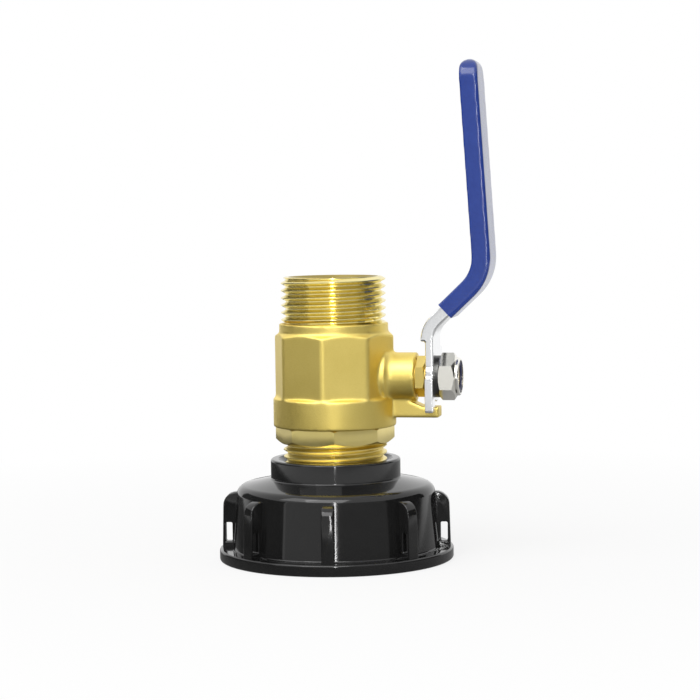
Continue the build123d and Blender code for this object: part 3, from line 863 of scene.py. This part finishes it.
@dataclass
class EndConnector(SubAssembly):
    """The screwed end piece: octagonal ring and the thread that enters the cap's collar."""

    bottom: float = 23.1 * MM
    ring_bottom: float = 37.1 * MM
    ring_top: float = 42.3 * MM
    ring_radius: float = 18.9 * MM
    ring_inset: float = 0.3 * MM
    ring_edge: Point = (0.6 * MM, 0.4 * MM)
    ring_bevel: float = 0.3 * MM
    corner_angle: float = radians(-124.0)
    chamfer: float = 1.3 * MM
    inlet: Thread = Thread(15.14 * MM, 16.44 * MM, 2.309 * MM, 24.516 * MM)
    thread_sink: float = 0.5 * MM
    spigot: float = 16.2 * MM
    bore: float = 12.2 * MM
    bore_taper: float = 2.7 * MM
    port: float = 9.5 * MM
    seat_bore: float = 13.2 * MM
    seat_floor: float = 47.53 * MM
    top: float = 48.53 * MM

    def build(self) -> None:
        """Models the connector and fits it in place of its node."""
        apothem = self.ring_radius * cos(pi / 8)
        ring = prism("ring", 8, apothem, self.ring_bottom, self.ring_top, self.corner_angle)
        trim = lathe("trim", [(apothem - self.ring_inset, self.ring_bottom),
                              (self.ring_radius, self.ring_bottom + self.chamfer),
                              (self.ring_radius, self.ring_top - self.ring_edge[1]),
                              (self.ring_radius - self.ring_edge[0], self.ring_top)])
        combine(ring, Work.TRIM, trim)
        bevel(ring, self.ring_bevel, segments=3, angle=15.0)
        thread = self.inlet.plug("inlet_thread", self.bottom, self.ring_bottom + self.thread_sink)
        spigot = lathe("spigot", [(self.spigot, self.ring_top - OVERLAP), (self.spigot, self.top)])
        combine(ring, Work.JOIN, thread, spigot)
        waterway = lathe("waterway", [
            (self.bore, self.bottom - OVERLAP), (self.bore, self.ring_bottom),
            (self.port, self.ring_bottom + self.bore_taper), (self.port, self.seat_floor),
            (self.seat_bore, self.seat_floor), (self.seat_bore, self.top + OVERLAP)])
        combine(ring, Work.CUT, waterway)
        self.rack.dress(ring, "connector_brass")
        self.fit(ring, "end_connector", Body.VALVE, "turned_brass", sharp=34.0)


@dataclass(frozen=True)
class LeverLine:
    """The folded side line that the lever and its sleeve share."""

    face: float = 33.0 * MM
    foot: float = 42.0 * MM
    knee_height: float = 72.5 * MM
    elbow_height: float = 89.2 * MM
    elbow_reach: float = 50.7 * MM
    top_reach: float = 46.6 * MM
    top: float = 155.4 * MM
    knee_round: float = 6.5 * MM
    elbow_round: float = 15.5 * MM
    run_on: float = 4.0 * MM
    trim_reach: float = 100.0 * MM

    def at(self, inset: float, extra: float) -> list[Point]:
        """Follows the line at a depth behind the outer face.

        Args:
            inset: The depth, measured back towards the valve.
            extra: How far the line runs on past its ends.

        Returns:
            The line's points from the foot up.
        """
        corners = [Vector((self.face, self.foot - extra)), Vector((self.face, self.knee_height)),
                   Vector((self.elbow_reach, self.elbow_height)),
                   Vector((self.top_reach, self.top))]
        corners[3] += (corners[3] - corners[2]).normalized() * extra
        ways = [(after - before).normalized() for before, after in zip(corners, corners[1:])]
        sides = [Vector((-way.y, way.x)) for way in ways]
        shifts = [sides[0], (sides[0] + sides[1]) / (1 + sides[0].dot(sides[1])),
                  (sides[1] + sides[2]) / (1 + sides[1].dot(sides[2])), sides[2]]
        moved = [tuple(corner + shift * inset) for corner, shift in zip(corners, shifts)]
        return rounded(moved, {1: self.knee_round + inset, 2: self.elbow_round - inset}, steps=14)

    def strip(self, name: str, front: float, back: float, width: float, extra: float | None = None,
              tip_round: float = 0.0) -> Solid:
        """Models a bent bar between two depths behind the outer face.

        Args:
            name: The new object's name.
            front: The depth of its outer side.
            back: The depth of its inner side.
            width: Its width across.
            extra: How far it runs on past the line's ends; the line's own run-on if not given.
            tip_round: The rounding of its upper end, seen from the side.

        Returns:
            The closed bar.
        """
        extra = self.run_on if extra is None else extra
        face = self.at(front, extra)
        outline = face + list(reversed(self.at(back, extra)))
        tips = {len(face) - 1: tip_round, len(face): tip_round}
        return slab(name, rounded(outline, tips, steps=8), width)

    def trim(self, bar: Solid, width: float, bottom: float, tip: float, tip_round: float) -> None:
        """Trims a bar to the lever's outline as seen from the front.

        Args:
            bar: The bar to trim.
            width: The outline's width.
            bottom: The height of its lower end.
            tip: The height of its upper end.
            tip_round: The radius of its two upper corners.
        """
        half = width / 2
        corners = rounded([(-half, bottom), (half, bottom), (half, tip), (-half, tip)],
                          {2: tip_round, 3: tip_round}, steps=10)
        front = plate("trim", [Vector((0.0, y, z)) for y, z in corners],
                      Vector((self.trim_reach, 0.0, 0.0)))
        combine(bar, Work.TRIM, front)


@dataclass
class Lever(SubAssembly):
    """The folded steel lever with its hub and stop ears, and the dipped sleeve on it."""

    line: LeverLine = LeverLine()
    web: float = 2.6 * MM
    depth: float = 4.0 * MM
    width: float = 14.2 * MM
    hub_radius: float = 7.9 * MM
    lip_thickness: float = 2.0 * MM
    lip_start: float = 69.4 * MM
    tip_round: float = 5.5 * MM
    stem_radius: float = 4.0 * MM
    ear_reach: float = 10.8 * MM
    ear_near: float = 3.85 * MM
    ear_far: float = 9.05 * MM
    voxel: float = 0.3 * MM
    relax_passes: int = 5
    sleeve_wall: float = 0.95 * MM
    sleeve_overhang: float = 1.5 * MM
    sleeve_start: float = 78.4 * MM
    sleeve_tip_flat: float = 0.1 * MM
    sleeve_voxel: float = 0.42 * MM
    sleeve_passes: int = 26
    keep_length: float = 150.0 * MM
    keep_half_depth: float = 100.0 * MM

    def channel(self) -> Solid:
        """Models the sharp-edged blank: a channel, open towards the valve, above a plain web."""
        blank = self.line.strip("lever", 0.0, self.web, self.width)
        self.line.trim(blank, self.width, STEM_HEIGHT, self.line.top, self.tip_round)
        lips = self.line.strip("lips", 0.0, self.depth, self.width)
        self.line.trim(lips, self.width, self.lip_start, self.line.top, self.tip_round)
        combine(blank, Work.JOIN, lips)
        trough = self.line.strip("trough", self.web, 2 * self.depth,
                                 self.width - 2 * self.lip_thickness)
        combine(blank, Work.CUT, trough)
        return blank

    def hub(self) -> list[Solid]:
        """Models the round hub and the two ears that meet the stop lug."""
        back = self.line.face - self.web
        solids = [lathe("hub", [(back, self.hub_radius), (self.line.face, self.hub_radius)],
                        Axis.STEM, STEM_STEPS)]
        middle, thickness = (self.ear_near + self.ear_far) / 2, self.ear_far - self.ear_near
        for y, z, wide, tall in ((-middle, -self.ear_reach / 2, thickness, self.ear_reach),
                                 (self.ear_reach / 2, middle, self.ear_reach, thickness)):
            solids.append(block((back + self.web / 2, y, STEM_HEIGHT + z), (self.web, wide, tall)))
        return solids

    def build(self) -> None:
        """Models the lever and its sleeve and fits them in place of their nodes."""
        blank = self.channel()
        core = duplicate(blank)
        combine(blank, Work.JOIN, *self.hub())
        soften(blank, self.voxel, self.relax_passes)
        hole = lathe("hole", [(self.line.face - 2 * self.web, self.stem_radius),
                              (self.line.face + self.web, self.stem_radius)], Axis.STEM, BORE_STEPS)
        combine(blank, Work.CUT, hole)
        self.rack.dress(blank, "lever_steel")
        self.fit(blank, "lever", Body.LEVER_SET, "lever_steel", sharp=38.0)
        self.build_sleeve(core)

    def build_sleeve(self, core: Solid) -> None:
        """Models the dipped sleeve round a copy of the lever's blank, which is used up.

        Args:
            core: The lever's blank.
        """
        line, wall = self.line, self.sleeve_wall
        width = self.width + 2 * wall
        sleeve = line.strip("sleeve", -wall, self.depth + wall, width, self.sleeve_overhang,
                            self.depth / 2 + wall - self.sleeve_tip_flat)
        line.trim(sleeve, width, self.lip_start, line.top + self.sleeve_overhang,
                  self.tip_round + wall)
        soften(sleeve, self.sleeve_voxel, self.sleeve_passes)
        rise = Vector((line.elbow_reach - line.face, line.elbow_height - line.knee_height))
        middle = (line.face + (self.sleeve_start - line.knee_height) * rise.x / rise.y
                  - self.depth / 2)
        along = rise.normalized() * self.keep_length
        across = Vector((-rise.y, rise.x)).normalized() * self.keep_half_depth
        start = Vector((middle, self.sleeve_start))
        corners = (start - across, start + across, start + across + along, start - across + along)
        combine(sleeve, Work.TRIM, slab("keep", corners, 2 * width))
        combine(sleeve, Work.CUT, core)
        self.rack.dress(sleeve, "sleeve_vinyl")
        self.fit(sleeve, "lever_sleeve", Body.LEVER_SET, "sleeve_vinyl", sharp=40.0)


@dataclass
class StemFittings(SubAssembly):
    """The gland nut, and the locking nut with its insert."""

    gland_flats: float = 11.3 * MM
    gland_start: float = 26.9 * MM
    gland_end: float = 29.8 * MM
    gland_bevel_share: float = 0.6
    gland_screw_start: float = 24.1 * MM
    gland_screw_sink: float = 0.5 * MM
    gland_screw_radius: float = 5.6 * MM
    stem_radius: float = 4.0 * MM
    nut_flats: float = 13.0 * MM
    nut_start: float = 34.3 * MM
    nut_hex_end: float = 39.5 * MM
    nut_end: float = 40.6 * MM
    crown_radius: float = 6.0 * MM
    crown_round: float = 0.6 * MM
    insert_radius: float = 5.2 * MM
    insert_start: float = 39.0 * MM
    insert_end: float = 40.25 * MM
    insert_sink: float = 0.1 * MM
    insert_rounds: Point = (0.2 * MM, 0.4 * MM)

    @staticmethod
    def ring(name: str, section: Sequence[Point]) -> Solid:
        """Spins a ring's whole section about the stem."""
        return lathe(name, section, Axis.STEM, STEM_STEPS, closed=True)

    def gland_nut(self) -> None:
        """Models the hexagon-headed gland screw, chamfered on its outer face."""
        flat = self.gland_flats / 2
        corner = flat / cos(pi / 6)
        slope = (corner - flat) * self.gland_bevel_share
        nut = stem_prism("gland", self.gland_flats, self.gland_start, self.gland_end)
        chamfer = self.ring("chamfer", [
            (self.gland_start, self.stem_radius), (self.gland_start, corner),
            (self.gland_end - slope, corner), (self.gland_end, flat),
            (self.gland_end, self.stem_radius)])
        combine(nut, Work.TRIM, chamfer)
        screw_end = self.gland_start + self.gland_screw_sink
        screw = self.ring("screw", [
            (self.gland_screw_start, self.stem_radius),
            (self.gland_screw_start, self.gland_screw_radius),
            (screw_end, self.gland_screw_radius), (screw_end, self.stem_radius)])
        combine(nut, Work.JOIN, screw)
        self.rack.dress(nut, "gland_brass")
        self.fit(nut, "gland_nut", Body.VALVE, "turned_brass", sharp=25.0)

    def locking_nut(self) -> None:
        """Models the locking nut: chamfered hexagon, round crown and the seat for its insert."""
        flat = self.nut_flats / 2
        corner = flat / cos(pi / 6)
        slope = corner - flat
        seat = self.insert_start - self.insert_sink
        seat_corners = [(seat, self.insert_radius), (seat, self.stem_radius)]
        nut = stem_prism("nut", self.nut_flats, self.nut_start, self.nut_hex_end)
        chamfer = self.ring("chamfer", [
            (self.nut_start, self.stem_radius), (self.nut_start, flat),
            (self.nut_start + slope / 2, corner), (self.nut_hex_end - slope, corner),
            (self.nut_hex_end, flat - slope / 2), (self.nut_hex_end, self.insert_radius),
            *seat_corners])
        combine(nut, Work.TRIM, chamfer)
        foot = self.nut_start + OVERLAP
        crown = self.ring("crown", rounded([
            (foot, self.stem_radius), (foot, self.crown_radius), (self.nut_end, self.crown_radius),
            (self.nut_end, self.insert_radius), *seat_corners], {2: self.crown_round}, steps=8))
        combine(nut, Work.JOIN, crown)
        self.rack.dress(nut, "nut_steel")
        self.fit(nut, "lever_nut", Body.LEVER_SET, "nut_steel", sharp=25.0)

    def insert(self) -> None:
        """Models the locking ring in the nut's crown."""
        corners = [(self.insert_start, self.stem_radius), (self.insert_start, self.insert_radius),
                   (self.insert_end, self.insert_radius), (self.insert_end, self.stem_radius)]
        outer, inner = self.insert_rounds
        insert = self.ring("insert", rounded(corners, {2: outer, 3: inner}))
        self.rack.dress(insert, "insert_nylon")
        self.fit(insert, "nut_insert", Body.LEVER_SET, "insert_nylon", sharp=35.0)

    def build(self) -> None:
        """Models both nuts and the insert."""
        self.gland_nut()
        self.locking_nut()
        self.insert()


@dataclass(frozen=True)
class PackedPieces:
    """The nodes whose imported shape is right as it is, each with the finish it gets."""

    finishes: tuple[tuple[str, str], ...] = (
        ("tank_gasket", "seal_rubber"),
        ("collar_seal", "seal_rubber"),
        ("stem_o_ring", "seal_rubber"),
        ("body_joint_seal", "seat_polymer"),
        ("outlet_seat", "seat_polymer"),
        ("tank_side_seat", "seat_polymer"),
        ("stem_thrust_washer", "seat_polymer"),
        ("stem_packing", "seat_polymer"),
        ("packing_follower", "gland_brass"),
        ("ball", "ball_chrome"),
        ("stem", "stem_brass"),
        ("lever_washer", "washer_steel"),
    )

    def dress(self, rack: FinishRack) -> None:
        """Gives each node its finish."""
        for node, finish in self.finishes:
            rack.dress_node(node, finish)
            log.info("%s keeps its packed shape and gets %s", node, finish)


@dataclass(frozen=True)
class Lamp:
    """A soft rectangular lamp. Its azimuth is in degrees, to the right of the camera's."""

    name: str
    azimuth: float
    height: float
    size: Point
    power: float
    distance: float = 0.9


@dataclass(frozen=True)
class Card:
    """An upright grey card. Its azimuth is in degrees, to the right of the camera's."""

    name: str
    azimuth: float
    size: Point
    shade: float
    distance: float = 1.0
    height: float = 0.2


@dataclass(frozen=True)
class Studio:
    """The camera, the white floor and world, the lamps, and grey cards only for reflections."""

    azimuth: float = 12.0
    distance: float = 0.661
    height: float = 0.1128
    yaw_off: float = 0.44
    pitch: float = 4.03
    roll: float = -0.8
    lens: float = 107.3
    sensor: float = 36.0
    floor_size: float = 40.0
    floor_drop: float = 0.05 * MM
    floor_white: float = 0.92
    shadow_near: float = 0.06
    shadow_far: float = 0.3
    shadow_glow: float = 0.8
    world_light: float = 0.45
    lamp_aim: float = 0.07
    table_radius: float = 0.4
    table_drop: float = 0.02 * MM
    table_blend: float = 0.1
    table_left: float = 0.08
    table_right: float = 0.42
    cards: tuple[Card, ...] = (
        Card("left_card", -100.0, (1.6, 0.7), 0.08),
        Card("front_left_card", -30.0, (1.1, 0.7), 0.64),
        Card("front_right_card", 30.0, (1.1, 0.7), 0.3),
        Card("right_card", 88.0, (1.3, 0.7), 0.04),
    )
    lamps: tuple[Lamp, ...] = (
        Lamp("strip_lamp", -1.5, 0.3, (0.02, 0.6), 1.3),
        Lamp("key_lamp", -15.0, 1.1, (1.0, 0.8), 8.0),
        Lamp("fill_lamp", -60.0, 1.2, (0.8, 0.8), 4.0),
    )

    def place(self, azimuth: float, distance: float, height: float) -> Vector:
        """Gives the place at an azimuth counted from the camera's."""
        turn = radians(self.azimuth + azimuth)
        return Vector((distance * sin(turn), -distance * cos(turn), height))

    @staticmethod
    def facing(place: Vector, height: float) -> Euler:
        """Gives the turn by which a thing at a place faces the flow axis at a height."""
        return (place - Vector((0, 0, height))).to_track_quat("Z", "Y").to_euler()

    def camera(self) -> None:
        """Places the camera at the photograph's angle."""
        bpy.ops.object.camera_add()
        camera = bpy.context.object
        camera.location = self.place(0.0, self.distance, self.height)
        aim = (Matrix.Rotation(radians(self.azimuth - self.yaw_off), 4, "Z")
               @ Matrix.Rotation(radians(90.0 - self.pitch), 4, "X")
               @ Matrix.Rotation(radians(self.roll), 4, "Z"))
        camera.rotation_euler = aim.to_euler()
        camera.data.lens = self.lens
        camera.data.sensor_width = self.sensor
        bpy.context.scene.camera = camera

    def floor(self) -> None:
        """Lays a white floor that keeps the object's shadow near it and fades to plain white."""
        clear()
        bpy.ops.mesh.primitive_plane_add(size=self.floor_size, location=(0, 0, -self.floor_drop))
        floor = bpy.context.object
        floor.name = "floor"
        material = bpy.data.materials.new("white_floor")
        kit = NodeKit.blank(material)
        reach = kit.add("ShaderNodeVectorMath", operation="LENGTH")
        kit.feed(reach.inputs[0], kit.place())
        share = kit.spread(reach.outputs["Value"], from_min=self.shadow_near,
                           from_max=self.shadow_far, to_min=self.shadow_glow, to_max=1.0)
        paint = kit.add("ShaderNodeBsdfDiffuse", {"Color": (*[self.floor_white] * 3, 1.0)})
        glow = kit.add("ShaderNodeEmission", {"Color": (1.0, 1.0, 1.0, 1.0)})
        mix = kit.add("ShaderNodeMixShader")
        for index, value in enumerate((kit.maths("MULTIPLY", kit.seen(), share), paint.outputs[0],
                                       glow.outputs[0])):
            kit.feed(mix.inputs[index], value)
        kit.add("ShaderNodeOutputMaterial", {"Surface": mix.outputs[0]})
        floor.data.materials.append(material)

    def world(self) -> None:
        """Surrounds the object with white that also lights it softly."""
        world = bpy.context.scene.world or bpy.data.worlds.new("world")
        bpy.context.scene.world = world
        kit = NodeKit.blank(world)
        level = kit.spread(kit.seen(), to_min=self.world_light, to_max=1.0)
        glow = kit.add("ShaderNodeBackground", {"Color": (1.0, 1.0, 1.0, 1.0), "Strength": level})
        kit.add("ShaderNodeOutputWorld", {"Surface": glow.outputs[0]})

    def hang(self, plan: Lamp) -> None:
        """Hangs a lamp that faces the object."""
        place = self.place(plan.azimuth, plan.distance, plan.height)
        bpy.ops.object.light_add(type="AREA", location=place)
        lamp = bpy.context.object
        lamp.name = plan.name
        lamp.rotation_euler = self.facing(place, self.lamp_aim)
        lamp.data.shape = "RECTANGLE"
        lamp.data.size, lamp.data.size_y = plan.size
        lamp.data.energy = plan.power

    @staticmethod
    def show_in_reflections(card: Solid, kit: NodeKit, light: dict[str, object]) -> None:
        """Makes a card glow by the light's inputs, and hides it from all but reflections."""
        glow = kit.add("ShaderNodeEmission", light)
        kit.add("ShaderNodeOutputMaterial", {"Surface": glow.outputs[0]})
        card.visible_camera = False
        card.visible_diffuse = False
        card.visible_shadow = False

    @staticmethod
    def name_card(name: str) -> tuple[Solid, NodeKit]:
        """Names the card just added and gives it an empty material of that name."""
        card = bpy.context.object
        card.name = name
        material = bpy.data.materials.new(name)
        card.data.materials.append(material)
        return card, NodeKit.blank(material)

    def stand(self, plan: Card) -> None:
        """Stands up a card that faces the flow axis."""
        place = self.place(plan.azimuth, plan.distance, plan.height)
        clear()
        bpy.ops.mesh.primitive_plane_add(size=1.0, location=place)
        card, kit = self.name_card(plan.name)
        card.rotation_euler = self.facing(place, plan.height)
        card.scale = (*plan.size, 1.0)
        self.show_in_reflections(card, kit, {"Color": (*[plan.shade] * 3, 1.0)})

    def table_card(self) -> None:
        """Lays a grey card round the object, darker on the camera's left than on its right."""
        clear()
        bpy.ops.mesh.primitive_circle_add(vertices=64, radius=self.table_radius, fill_type="NGON",
                                          location=(0, 0, -self.table_drop),
                                          rotation=(0, 0, radians(self.azimuth)))
        card, kit = self.name_card("table_card")
        across = kit.add("ShaderNodeSeparateXYZ", {"Vector": kit.place()}).outputs["X"]
        level = kit.spread(across, from_min=-self.table_blend, from_max=self.table_blend,
                           to_min=self.table_left, to_max=self.table_right)
        self.show_in_reflections(card, kit, {"Strength": level})

    def build(self) -> None:
        """Sets up the whole stage."""
        self.camera()
        self.floor()
        self.world()
        for card in self.cards:
            self.stand(card)
        self.table_card()
        for lamp in self.lamps:
            self.hang(lamp)
        bpy.context.scene.view_settings.view_transform = "Standard"
        log.info("the stage is set")


def main() -> None:
    """Builds every sub-assembly in order, dresses the rest and sets the stage."""
    rack = FinishRack()
    for kind in (TankCap, EndConnector, ForgedBody, Lever, StemFittings):
        kind(rack).build()
    PackedPieces().dress(rack)
    Studio().build()


if __name__ == "__main__":
    main()
